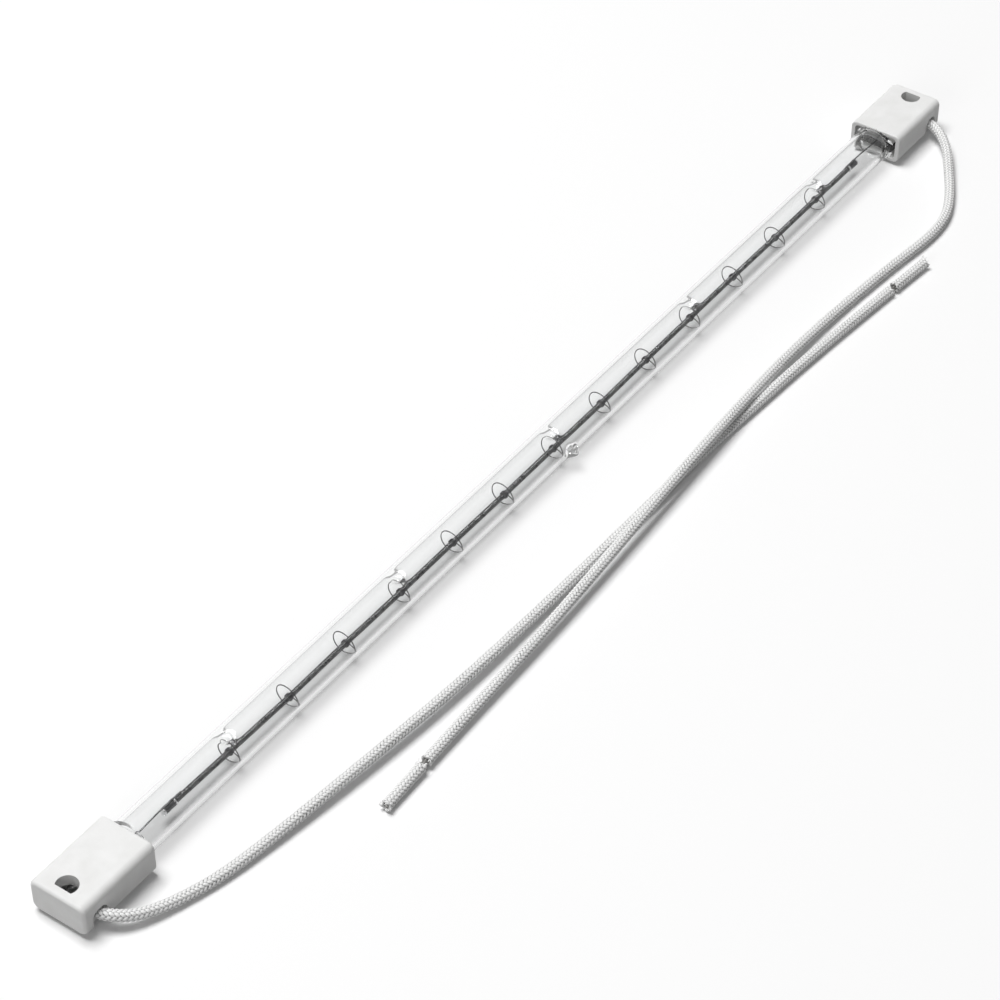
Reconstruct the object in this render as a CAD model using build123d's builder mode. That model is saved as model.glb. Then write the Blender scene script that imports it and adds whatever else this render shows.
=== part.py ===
from build123d import *
import math
import os

os.makedirs("parts", exist_ok=True)

# Quartz tube: a round tube, flattened to a pinch seal at each end
overall_length = 362.0
tube_diameter = 10.4
tube_wall = 1.05
shoulder_length = 1.5
shoulder_steps = 3
cavity_shoulder_length = 0.9
cavity_end_half_width = 3.8
cavity_end_half_height = 0.35
pinch_length = 13.5
pinch_width = 11.4
pinch_thickness = 2.8
pinch_edge_radius = 1.2
pinch_end_clearance = 0.6

# Dimples pressed into the top of the tube, evenly over some of the supports
dimple_count = 5
dimple_mouth_radius = 2.2
dimple_floor_radius = 0.6
dimple_depth = 1.4
dimple_wall = 0.8

# Exhaust tip: the melted end of the pumping tube, on the side of the leads
tip_x = 2.2
tip_reach = 7.3
tip_base_radius = 2.3
tip_base_depth = 0.6
tip_neck_radius = 1.5
tip_neck_reach = 6.2
tip_end_radius = 0.9
tip_pore_radius = 0.45
tip_pore_reach = 6.2

# Filament, its supports and its end clips
filament_diameter = 1.45
filament_bore = 0.95
filament_sag = 0.65
filament_clearance = 0.03
support_count = 13
support_wire = 0.28
clasp_sides = 6
support_rest_clearance = 0.03
support_pitch_along = 1.2
support_turn_share = 0.93
support_bends = 13
support_clasp_length = 0.95
support_clasp_back = 0.35
support_leg_lead = 0.9
clip_diameter = 1.9
clip_sides = 10
clip_length = 4.5
clip_bore_depth = 3.0
clip_edge = 0.25
clip_to_pinch = 11.95

# Inner lead wire, sealing foil and outer lead pin
lead_wire_diameter = 0.4
wire_sides = 6
lead_wire_bend = 1.5
lead_wire_past_clip = 2.2
lead_wire_straight = 2.1
weld_gap = 0.03
foil_from_pinch_start = 3.1
foil_length = 7.4
foil_width = 4.0
foil_thickness = 0.1
seal_clearance = 0.02
pin_diameter = 0.8
pin_bend = 0.9
pin_swing = 2.4
pin_swing_run = 1.9
pin_in_crimp = 1.4

# Ceramic end cap
cap_length = 23.0
cap_width = 15.3
cap_height = 8.6
cap_long_edge_radius = 1.8
cap_outer_end_edge = 0.9
cap_mouth_edge = 0.35
mouth_width = 12.9
mouth_height = 6.6
mouth_corner = 1.0
mouth_depth = 14.2
chamber_width = 12.0
chamber_height = 3.6
chamber_drop = 0.6
cap_end_wall = 1.4
hole_diameter = 5.3
hole_from_end = 3.7
hole_flat_from_end = 2.3
slot_width = 4.6
slot_height = 3.8
slot_corner = 1.4
slot_from_axis = 3.95

# Cement between pinch and cap, set back from the mouth
cement_set_back = 5.0
cement_length = 7.0
cement_clearance = 0.05

# Crimp sleeve, lying across the cap behind the side slot
wire_from_end = 4.9
wire_drop = 1.0
crimp_diameter = 2.2
crimp_sides = 12
crimp_length = 3.0
crimp_from_axis = 0.9
crimp_clearance = 0.03

# Connecting leads: stranded conductor in a braided sleeve, cut near its end
conductor_diameter = 1.4
conductor_in_crimp = 1.4
conductor_recess = 0.8
sleeve_diameter = 2.9
sleeve_sides = 8
sleeve_bore = 1.7
bore_sides = 6
sleeve_from_axis = 4.1
sleeve_gap = 1.8
slug_length = 14.0
corner_share = 0.45

# Places that follow from the sizes above
tube_radius = tube_diameter / 2
bore_radius = tube_radius - tube_wall
axis_height = tube_radius
cap_outer_x = overall_length / 2
cap_inner_x = cap_outer_x - cap_length
chamber_x = cap_inner_x + mouth_depth
pinch_end_x = chamber_x - pinch_end_clearance
pinch_start_x = pinch_end_x - pinch_length
round_end_x = pinch_start_x - shoulder_length
clip_x = pinch_start_x - clip_to_pinch
support_pitch = 2 * clip_x / (support_count + 1)
support_places = [(i - (support_count - 1) / 2) * support_pitch for i in range(support_count)]
filament_height = axis_height - filament_sag
ring_radius = bore_radius - filament_sag - support_rest_clearance - support_wire / 2
wire_x = cap_outer_x - wire_from_end
wire_height = axis_height - wire_drop
foil_start_x = pinch_start_x + foil_from_pinch_start
foil_end_x = foil_start_x + foil_length


def keep(builder, node):
    """Names a finished piece and writes it."""
    builder.part.label = node
    export_step(builder.part, os.path.join("parts", node + ".step"))


def keep_pair(builder, piece):
    """Writes the piece of the right end and its mirror image at the left end."""
    keep(builder, "right_" + piece)
    with BuildPart() as left:
        mirror(builder.part, about=Plane.YZ)
    keep(left, "left_" + piece)


def shoulder_sections(length, half_width, half_height, end_half_width, end_half_height):
    """Ellipses from a round section to a flat one, whose heights follow a quarter of an ellipse."""
    sections = []
    for step in range(shoulder_steps + 1):
        turn = math.pi / 2 * step / shoulder_steps
        width = half_width + (end_half_width - half_width) * math.sin(turn)
        height = end_half_height + (half_height - end_half_height) * math.cos(turn)
        sections.append((round_end_x + length * math.sin(turn), width, height))
    return sections


# The sealed space inside the quartz: bore, rounded ends, and the passages of lead wire, foil and pin
with BuildPart() as cavity:
    with BuildSketch(Plane.YZ):
        with Locations((0, axis_height)):
            Circle(bore_radius)
    extrude(amount=round_end_x)
    for x, half_width, half_height in shoulder_sections(
        cavity_shoulder_length, bore_radius, bore_radius, cavity_end_half_width, cavity_end_half_height
    ):
        with BuildSketch(Plane.YZ.offset(x)):
            with Locations((0, axis_height)):
                Ellipse(half_width, half_height)
    loft(ruled=True)
    with BuildSketch(Plane.YZ.offset(round_end_x)):
        with Locations((0, axis_height)):
            Circle(lead_wire_diameter / 2 + seal_clearance)
    extrude(amount=foil_start_x - round_end_x)
    with BuildSketch(Plane.YZ.offset(foil_start_x - seal_clearance)):
        with Locations((0, axis_height)):
            Rectangle(foil_width + 2 * seal_clearance, foil_thickness + 2 * seal_clearance)
    extrude(amount=foil_length + 2 * seal_clearance)
    with BuildSketch(Plane.YZ.offset(foil_end_x)):
        with Locations((0, axis_height)):
            Circle(pin_diameter / 2 + seal_clearance)
    extrude(amount=pinch_end_x - foil_end_x)
    mirror(about=Plane.YZ)

# Inward bumps of the dimples, standing on the middle of the tube wall
dimple_places = support_places[:: (support_count - 1) // (dimple_count - 1)]
dimple_floor = axis_height + tube_radius - dimple_depth
bump_floor = dimple_floor - dimple_wall
bump_height = axis_height + tube_radius - tube_wall / 2 - bump_floor
with BuildPart() as dimple_bumps:
    with Locations(*[(x, 0, bump_floor + bump_height / 2) for x in dimple_places]):
        Cone(dimple_floor_radius + dimple_wall / 2, dimple_mouth_radius + dimple_wall / 2, bump_height)

# Quartz tube
with BuildPart() as quartz_tube:
    with BuildSketch(Plane.YZ):
        with Locations((0, axis_height)):
            Circle(tube_radius)
    extrude(amount=round_end_x)
    for x, half_width, half_height in shoulder_sections(
        shoulder_length, tube_radius, tube_radius, pinch_width / 2, pinch_thickness / 2
    ):
        with BuildSketch(Plane.YZ.offset(x)):
            with Locations((0, axis_height)):
                Ellipse(half_width, half_height)
    loft(ruled=True)
    with BuildSketch(Plane.YZ.offset(pinch_start_x)):
        with Locations((0, axis_height)):
            RectangleRounded(pinch_width, pinch_thickness, pinch_edge_radius)
    extrude(amount=pinch_length)
    mirror(about=Plane.YZ)
    add(cavity.part, mode=Mode.SUBTRACT)
    add(dimple_bumps.part)
    with Locations(*[(x, 0, dimple_floor + dimple_depth / 2) for x in dimple_places]):
        Cone(dimple_floor_radius, dimple_mouth_radius, dimple_depth, mode=Mode.SUBTRACT)
    with BuildSketch(Plane.XY.offset(axis_height)):
        with BuildLine():
            Polyline(
                (tip_x, -tip_reach),
                (tip_x, tip_base_depth - tube_radius),
                (tip_x + tip_base_radius, tip_base_depth - tube_radius),
            )
            Spline(
                (tip_x + tip_base_radius, tip_base_depth - tube_radius),
                (tip_x + tip_neck_radius, -tip_neck_reach),
                (tip_x + tip_end_radius, -tip_reach),
            )
            Line((tip_x + tip_end_radius, -tip_reach), (tip_x, -tip_reach))
        make_face()
    revolve(axis=Axis((tip_x, 0, axis_height), (0, 1, 0)))
    with BuildSketch(Plane.XZ.offset(bore_radius - tube_wall)):
        with Locations((tip_x, axis_height)):
            Circle(tip_pore_radius)
    extrude(amount=tip_pore_reach - bore_radius + tube_wall, mode=Mode.SUBTRACT)
keep(quartz_tube, "quartz_tube")

# Filament, drawn as the hollow rod that the close coil fills
with BuildPart() as filament:
    with BuildSketch(Plane.YZ.offset(-clip_x)):
        with Locations((0, filament_height)):
            Circle(filament_diameter / 2)
            Circle(filament_bore / 2, mode=Mode.SUBTRACT)
    extrude(amount=2 * clip_x)
keep(filament, "filament")

# One support at the middle of the filament: clasp, leg and one open turn of wire
clasp_bore = filament_diameter / 2 + filament_clearance
with BuildPart() as support:
    with BuildSketch(Plane.YZ.offset(-support_clasp_back - support_clasp_length / 2)):
        with Locations((0, filament_height)):
            RegularPolygon(clasp_bore + support_wire, clasp_sides, major_radius=False)
            RegularPolygon(clasp_bore, clasp_sides, major_radius=False, mode=Mode.SUBTRACT)
    extrude(amount=support_clasp_length)
    turn_points = []
    for bend in range(support_bends + 1):
        share = support_turn_share * bend / support_bends
        turn_points.append(
            (
                -support_pitch_along * share,
                -ring_radius * math.cos(2 * math.pi * share),
                filament_height - ring_radius * math.sin(2 * math.pi * share),
            )
        )
    with BuildLine() as turn:
        Polyline(*turn_points)
    with BuildSketch(Plane(origin=turn_points[0], x_dir=(0, 1, 0), z_dir=turn.line % 0)):
        Rectangle(support_wire, support_wire)
    sweep(path=turn.line, transition=Transition.RIGHT)
    with BuildSketch(Plane.XZ.offset(clasp_bore + support_wire / 2)):
        with Locations((0, filament_height)):
            Rectangle(support_wire, support_wire)
    extrude(amount=ring_radius - clasp_bore - support_wire / 2)

for number, place in enumerate(support_places, start=1):
    with BuildPart() as placed_support:
        add(support.part.moved(Location((place + support_leg_lead, 0, 0))))
    keep(placed_support, "filament_support_%02d" % number)

# End clip: a rod with a blind bore for the filament's end
with BuildPart() as end_clip:
    with BuildSketch(Plane.YZ.offset(clip_x - clip_bore_depth)):
        with Locations((0, filament_height)):
            RegularPolygon(clip_diameter / 2, clip_sides)
    extrude(amount=clip_length)
    chamfer(end_clip.faces().filter_by(Axis.X).edges(), clip_edge)
    with BuildSketch(Plane.YZ.offset(clip_x - clip_bore_depth)):
        with Locations((0, filament_height)):
            RegularPolygon(
                filament_diameter / 2 + filament_clearance, clip_sides, major_radius=False
            )
    extrude(amount=clip_bore_depth + filament_clearance, mode=Mode.SUBTRACT)
keep_pair(end_clip, "filament_end_clip")

# Inner lead wire: along the top of the clip, then down to the middle of the seal
lead_height = filament_height + clip_diameter / 2 + lead_wire_diameter / 2 + weld_gap
clip_outer_x = clip_x - clip_bore_depth + clip_length
with BuildPart() as inner_lead:
    with BuildLine() as lead_path:
        FilletPolyline(
            (clip_x - clip_bore_depth - lead_wire_past_clip, 0, lead_height),
            (clip_outer_x + lead_wire_bend, 0, lead_height),
            (pinch_start_x - lead_wire_straight, 0, axis_height),
            (foil_start_x - weld_gap, 0, axis_height),
            radius=lead_wire_bend,
        )
    with BuildSketch(Plane(origin=lead_path.line @ 0, z_dir=lead_path.line % 0)):
        RegularPolygon(lead_wire_diameter / 2, wire_sides)
    sweep(path=lead_path.line)
keep_pair(inner_lead, "inner_lead")

# Sealing foil
with BuildPart() as sealing_foil:
    with BuildSketch(Plane.YZ.offset(foil_start_x)):
        with Locations((0, axis_height)):
            Rectangle(foil_width, foil_thickness)
    extrude(amount=foil_length)
keep_pair(sealing_foil, "sealing_foil")

# Outer lead pin, swung aside to take up heat growth, then bent towards the side slot
with BuildPart() as outer_lead_pin:
    with BuildLine() as pin_path:
        FilletPolyline(
            (foil_end_x + weld_gap, 0, axis_height),
            (pinch_end_x + pin_bend, 0, axis_height),
            (wire_x - pin_swing_run, pin_swing, wire_height),
            (wire_x, pin_swing, wire_height),
            (wire_x, -crimp_from_axis - pin_in_crimp, wire_height),
            radius=pin_bend,
        )
    with BuildSketch(Plane(origin=pin_path.line @ 0, z_dir=pin_path.line % 0)):
        RegularPolygon(pin_diameter / 2, wire_sides)
    sweep(path=pin_path.line)
keep_pair(outer_lead_pin, "outer_lead_pin")

# Crimp sleeve: narrow bore for the pin, wide bore for the conductor
with BuildPart() as crimp_sleeve:
    with BuildSketch(Plane.XZ.offset(crimp_from_axis)):
        with Locations((wire_x, wire_height)):
            RegularPolygon(crimp_diameter / 2, crimp_sides)
            RegularPolygon(
                pin_diameter / 2 + crimp_clearance,
                crimp_sides,
                major_radius=False,
                mode=Mode.SUBTRACT,
            )
    extrude(amount=crimp_length)
    with BuildSketch(Plane.XZ.offset(crimp_from_axis + crimp_length)):
        with Locations((wire_x, wire_height)):
            RegularPolygon(conductor_diameter / 2 + crimp_clearance, crimp_sides, major_radius=False)
    extrude(amount=-conductor_in_crimp - crimp_clearance, mode=Mode.SUBTRACT)
keep_pair(crimp_sleeve, "crimp_sleeve")

# End cap: a D-shaped hole in its top, a slot up one side from below, a mouth for the tube
with BuildPart() as end_cap:
    with BuildSketch(Plane.YZ.offset(cap_inner_x)):
        with Locations((0, axis_height)):
            RectangleRounded(cap_width, cap_height, cap_long_edge_radius)
    extrude(amount=cap_length)
    chamfer(end_cap.faces().sort_by(Axis.X)[-1].edges(), cap_outer_end_edge)
    chamfer(end_cap.faces().sort_by(Axis.X)[0].edges(), cap_mouth_edge)
    with BuildSketch(Plane.YZ.offset(cap_inner_x)):
        with Locations((0, axis_height)):
            RectangleRounded(mouth_width, mouth_height, mouth_corner)
    extrude(amount=mouth_depth, mode=Mode.SUBTRACT)
    with BuildSketch(Plane.YZ.offset(chamber_x)):
        with Locations((0, axis_height - chamber_drop)):
            Rectangle(chamber_width, chamber_height)
    extrude(amount=cap_outer_x - cap_end_wall - chamber_x, mode=Mode.SUBTRACT)
    with BuildSketch(Plane.XY.offset(axis_height)):
        with Locations((cap_outer_x - hole_from_end, 0)):
            Circle(hole_diameter / 2)
        with Locations((cap_outer_x, 0)):
            Rectangle(2 * hole_flat_from_end, hole_diameter, mode=Mode.SUBTRACT)
    extrude(amount=cap_height, mode=Mode.SUBTRACT)
    with BuildSketch(Plane.XZ.offset(slot_from_axis)):
        with Locations((wire_x, wire_height)):
            RectangleRounded(slot_width, slot_height, slot_corner)
    extrude(amount=cap_width, mode=Mode.SUBTRACT)
    with BuildSketch(Plane.XZ.offset(chamber_width / 2)):
        with Locations((wire_x, wire_height - cap_height / 2)):
            Rectangle(slot_width, cap_height)
    extrude(amount=cap_width, mode=Mode.SUBTRACT)
keep_pair(end_cap, "end_cap")

# Cement around the pinch
cement_x = cap_inner_x + cement_set_back
with BuildPart() as cement_fill:
    with BuildSketch(Plane.YZ.offset(cement_x)):
        with Locations((0, axis_height)):
            RectangleRounded(
                mouth_width - 2 * cement_clearance,
                mouth_height - 2 * cement_clearance,
                mouth_corner - cement_clearance,
            )
            RectangleRounded(
                pinch_width + 2 * cement_clearance,
                pinch_thickness + 2 * cement_clearance,
                pinch_edge_radius + cement_clearance,
                mode=Mode.SUBTRACT,
            )
    extrude(amount=cement_length)
keep_pair(cement_fill, "cement_fill")

# Ways of the two leads, from the side slots to the cut of the sleeves:
# run along the lamp, place across it, height
left_way = [
    (0, -6.8, wire_height),
    (1.1, -9.6, 3.95),
    (3.8, -12.4, 3.15),
    (8.1, -14.8, 2.3),
    (15.1, -17.4, 1.6),
    (25.6, -20.4, 1.5),
    (43.1, -23.0, 2.1),
    (68.1, -26.0, 3.1),
    (100.1, -28.8, 3.1),
    (134.1, -29.2, 1.9),
    (168.1, -29.6, 1.5),
    (198.1, -29.5, 1.5),
    (226.1, -30.7, 1.5),
    (255.6, -32.4, 1.5),
    (283.1, -34.9, 1.5),
]
right_way = [
    (0, -6.8, wire_height),
    (0.9, -9.9, 4.05),
    (3.3, -13.4, 3.6),
    (7.3, -17.2, 2.95),
    (14.1, -21.6, 2.2),
    (23.6, -27.4, 1.6),
    (32.6, -31.2, 1.5),
    (43.1, -31.8, 1.5),
    (59.1, -29.9, 1.5),
    (84.1, -27.9, 1.6),
    (110.1, -27.5, 2.6),
    (140.1, -29.7, 4.8),
    (168.1, -31.2, 4.8),
    (200.1, -33.2, 4.0),
    (230.1, -34.7, 3.1),
    (255.1, -35.3, 2.4),
    (275.6, -36.1, 1.95),
]


def corner_radii(points):
    """Arc at each corner: a share of the shorter run over the tangent of half the turn."""
    radii = []
    for before, corner, after in zip(points, points[1:], points[2:]):
        run_in = Vector(corner) - Vector(before)
        run_out = Vector(after) - Vector(corner)
        half_turn = math.radians(run_in.get_angle(run_out)) / 2
        radii.append(corner_share * min(run_in.length, run_out.length) / math.tan(half_turn))
    return radii


for side, outward, runs in (("left", -1, left_way), ("right", 1, right_way)):
    exit_x = outward * wire_x
    way = [(exit_x - outward * run, across, height) for run, across, height in runs]
    sleeve_points = [(exit_x, -sleeve_from_axis, wire_height)] + way
    radii = corner_radii(sleeve_points)
    cut_point = Vector(way[-1])
    last_way = (cut_point - Vector(way[-2])).normalized()
    slug_start = cut_point + last_way * sleeve_gap
    conductor_end = slug_start + last_way * (slug_length - conductor_recess)
    crimp_end = crimp_from_axis + crimp_length

    # Braided sleeve
    with BuildPart() as lead_sleeve:
        with BuildLine() as sleeve_path:
            FilletPolyline(*sleeve_points, radius=radii)
        with BuildSketch(Plane(origin=sleeve_path.line @ 0, z_dir=sleeve_path.line % 0)):
            RegularPolygon(sleeve_diameter / 2, sleeve_sides)
            RegularPolygon(sleeve_bore / 2, bore_sides, mode=Mode.SUBTRACT)
        sweep(path=sleeve_path.line)
    keep(lead_sleeve, side + "_lead_sleeve")

    # Stranded conductor, from the crimp to the stripped end
    conductor_start = (exit_x, conductor_in_crimp - crimp_end, wire_height)
    conductor_points = [conductor_start] + way[:-1] + [conductor_end]
    with BuildPart() as lead_conductor:
        with BuildLine() as conductor_path:
            FilletPolyline(*conductor_points, radius=radii)
        with BuildSketch(Plane(origin=conductor_path.line @ 0, z_dir=conductor_path.line % 0)):
            RegularPolygon(conductor_diameter / 2, bore_sides)
        sweep(path=conductor_path.line)
    keep(lead_conductor, side + "_lead_conductor")

    # Loose slug of braid over the stripped end
    with BuildPart() as sleeve_slug:
        with BuildSketch(Plane(origin=slug_start, z_dir=last_way)):
            RegularPolygon(sleeve_diameter / 2, sleeve_sides)
            RegularPolygon(sleeve_bore / 2, bore_sides, mode=Mode.SUBTRACT)
        extrude(amount=slug_length)
    keep(sleeve_slug, side + "_sleeve_slug")

    section = lead_sleeve.faces().sort_by_distance(sleeve_points[0])[0].area
    sleeve_length = sum(edge.length for edge in sleeve_path.edges())
    print(side, "lead radii", [round(radius, 1) for radius in radii])
    print(side, "sleeve length", round(sleeve_length, 1))
    print(side, "sleeve volume over section times length",
          round(lead_sleeve.part.volume / (section * sleeve_length), 4))
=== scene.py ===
import math
import bmesh
import bpy
import numpy as np
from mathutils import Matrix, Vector


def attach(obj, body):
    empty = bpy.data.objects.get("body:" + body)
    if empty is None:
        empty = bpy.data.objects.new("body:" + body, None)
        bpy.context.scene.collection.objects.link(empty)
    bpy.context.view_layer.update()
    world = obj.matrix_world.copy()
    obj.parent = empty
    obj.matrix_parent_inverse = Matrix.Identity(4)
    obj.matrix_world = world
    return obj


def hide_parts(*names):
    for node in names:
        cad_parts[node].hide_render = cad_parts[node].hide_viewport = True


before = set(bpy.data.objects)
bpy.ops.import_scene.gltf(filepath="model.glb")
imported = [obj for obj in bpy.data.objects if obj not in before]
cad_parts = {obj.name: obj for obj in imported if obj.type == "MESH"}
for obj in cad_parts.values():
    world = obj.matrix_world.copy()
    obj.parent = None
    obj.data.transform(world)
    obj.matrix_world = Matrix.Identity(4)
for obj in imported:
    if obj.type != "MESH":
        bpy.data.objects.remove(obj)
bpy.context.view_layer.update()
bpy.context.scene.view_settings.view_transform = "Standard"

# Filament: one tungsten wire, coiled close on a thin mandrel and strung along the lamp just below its axis.
# It gives slightly at each support, so the line of the coil is not quite straight. Sizes are in mm.
MM = 0.001
AXIS_Z = 5.2
FILAMENT_Z = 4.55
CLIP_X = 146.15
SUPPORT_COUNT = 13
SUPPORT_PITCH = 2 * CLIP_X / (SUPPORT_COUNT + 1)
SUPPORT_X = (np.arange(SUPPORT_COUNT) - SUPPORT_COUNT // 2) * SUPPORT_PITCH
COIL_TURNS = 820
COIL_STEPS_PER_TURN = 12
COIL_RADIUS = 0.585
COIL_WIRE_RADIUS = 0.14
COIL_END_GAP = 0.2
SET_OFF = 0.012
SIDEWAYS_SET_OFFS = np.array([0, 4, -9, 6, -3, 10, -6, 5, -10, 7, -2, 8, -7, 3, 0]) * SET_OFF
UPWARD_SET_OFFS = np.array([0, 3, -5, 4, 6, -4, 3, -6, 5, -3, 4, -5, 6, -2, 0]) * SET_OFF
BOW_X = (-146, -125, -73, 10, 73, 146)
BOW_Y = (0, -0.45, -0.7, -0.6, -0.1, 0)


def grid_faces(rows, columns):
    """Quads of a grid of points that is closed around and open along."""
    ring = np.arange(columns)
    after = (ring + 1) % columns
    base = (np.arange(rows - 1) * columns)[:, None]
    quads = [base + ring, base + after, base + columns + after, base + columns + ring]
    return np.stack(quads, axis=-1).reshape(-1, 4)


def closed_faces(rows, columns):
    """The same quads, with one more face that fills each end."""
    ring = np.arange(columns)
    ends = [ring[::-1].tolist(), ((rows - 1) * columns + ring).tolist()]
    return grid_faces(rows, columns).tolist() + ends


def skin_points(points, side, up, reach):
    """Points around a line: p + r(s, a) (cos a . side + sin a . up), with a in equal steps."""
    angle = np.linspace(0, 2 * np.pi, reach.shape[1], endpoint=False)[None, :, None]
    spoke = np.cos(angle) * side[:, None, :] + np.sin(angle) * up[:, None, :]
    return points[:, None, :] + reach[:, :, None] * spoke


def sweep(points, hint, reach):
    """Closed skin along a line: the side vector is the part of the hint that is square to the line."""
    along = np.gradient(points, axis=0)
    along /= np.linalg.norm(along, axis=1, keepdims=True)
    hint = np.broadcast_to(np.asarray(hint, float), points.shape)
    side = hint - along * np.sum(hint * along, axis=1, keepdims=True)
    side /= np.linalg.norm(side, axis=1, keepdims=True)
    vertices = skin_points(points, side, np.cross(along, side), reach)
    return vertices.reshape(-1, 3), closed_faces(*reach.shape)


def piece(name, vertices, faces, material, slot, nodes):
    """Makes a smooth mesh object, lets it ride with the lamp and stand for its solids."""
    mesh = bpy.data.meshes.new(name)
    mesh.from_pydata((np.asarray(vertices) * MM).tolist(), [], faces)
    mesh.shade_smooth()
    mesh.materials.append(material)
    thing = bpy.data.objects.new(name, mesh)
    bpy.context.scene.collection.objects.link(thing)
    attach(thing, "root")
    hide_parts(*nodes)
    return thing


def shaded(name, settings):
    """A material with these settings on its main shader; gives it, its node tree and the inputs."""
    material = bpy.data.materials.new(name)
    material.use_nodes = True
    inputs = material.node_tree.nodes["Principled BSDF"].inputs
    for socket, value in settings.items():
        inputs[socket].default_value = value
    return material, material.node_tree, inputs


def clouds(tree, scale, detail):
    """Noise on the piece's own coordinates, from 0 to 1."""
    place = tree.nodes.new("ShaderNodeTexCoord")
    noise = tree.nodes.new("ShaderNodeTexNoise")
    noise.inputs["Scale"].default_value = scale
    noise.inputs["Detail"].default_value = detail
    tree.links.new(place.outputs["Object"], noise.inputs["Vector"])
    return noise.outputs["Fac"]


def two_tone(tree, factor, dark, light, start=0.0, end=1.0):
    """A colour that runs from dark to light while the factor runs from start to end."""
    ramp = tree.nodes.new("ShaderNodeValToRGB")
    first, last = ramp.color_ramp.elements
    first.position = start
    first.color = (*dark, 1)
    last.position = end
    last.color = (*light, 1)
    tree.links.new(factor, ramp.inputs["Fac"])
    return ramp.outputs["Color"]


def spread(tree, factor, low, high, start=0.0, end=1.0):
    """A number that runs from low to high while the factor runs from start to end."""
    node = tree.nodes.new("ShaderNodeMapRange")
    for socket, value in (("From Min", start), ("From Max", end), ("To Min", low), ("To Max", high)):
        node.inputs[socket].default_value = value
    tree.links.new(factor, node.inputs["Value"])
    return node.outputs["Result"]


def relief(tree, factor, normal, strength, height):
    """Fine relief in the shading, up to this height in metres where the factor is 1."""
    bump = tree.nodes.new("ShaderNodeBump")
    bump.inputs["Strength"].default_value = strength
    bump.inputs["Distance"].default_value = height
    tree.links.new(factor, bump.inputs["Height"])
    tree.links.new(bump.outputs["Normal"], normal)


def metal(name, dark, light, rough, grain):
    """Drawn or rolled metal: one noise at the grain's scale gives its tint, roughness and relief."""
    material, tree, inputs = shaded(name, {"Metallic": 1.0})
    grains = clouds(tree, grain, detail=4.0)
    tree.links.new(two_tone(tree, grains, dark, light, start=0.3, end=0.7), inputs["Base Color"])
    tree.links.new(spread(tree, grains, rough - 0.08, rough + 0.1), inputs["Roughness"])
    relief(tree, grains, inputs["Normal"], strength=0.15, height=0.00002)
    return material


def filament_line(x):
    """Sideways and upward give of the coil at x: a slow bow, and set-offs joined by straight runs."""
    stations = np.concatenate([[-CLIP_X], SUPPORT_X, [CLIP_X]])
    sideways = np.interp(x, BOW_X, BOW_Y) + np.interp(x, stations, SIDEWAYS_SET_OFFS)
    return sideways, np.interp(x, stations, UPWARD_SET_OFFS)


turn_angle = np.linspace(0, 2 * np.pi * COIL_TURNS, COIL_TURNS * COIL_STEPS_PER_TURN + 1)
coil_x = np.linspace(-CLIP_X + COIL_END_GAP, CLIP_X - COIL_END_GAP, len(turn_angle))
coil_y, coil_z = filament_line(coil_x)
coil_out = np.stack([0 * coil_x, np.cos(turn_angle), np.sin(turn_angle)], axis=1)
coil = np.stack([coil_x, coil_y, FILAMENT_Z + coil_z], axis=1) + COIL_RADIUS * coil_out
tungsten = metal("tungsten_coil", (0.08, 0.08, 0.082), (0.21, 0.21, 0.214), rough=0.28, grain=900)
coil_skin = sweep(coil, coil_out, np.full((len(coil), 5), COIL_WIRE_RADIUS))
piece("filament_coil", *coil_skin, tungsten, "filament_wire", ["filament"])

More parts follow.
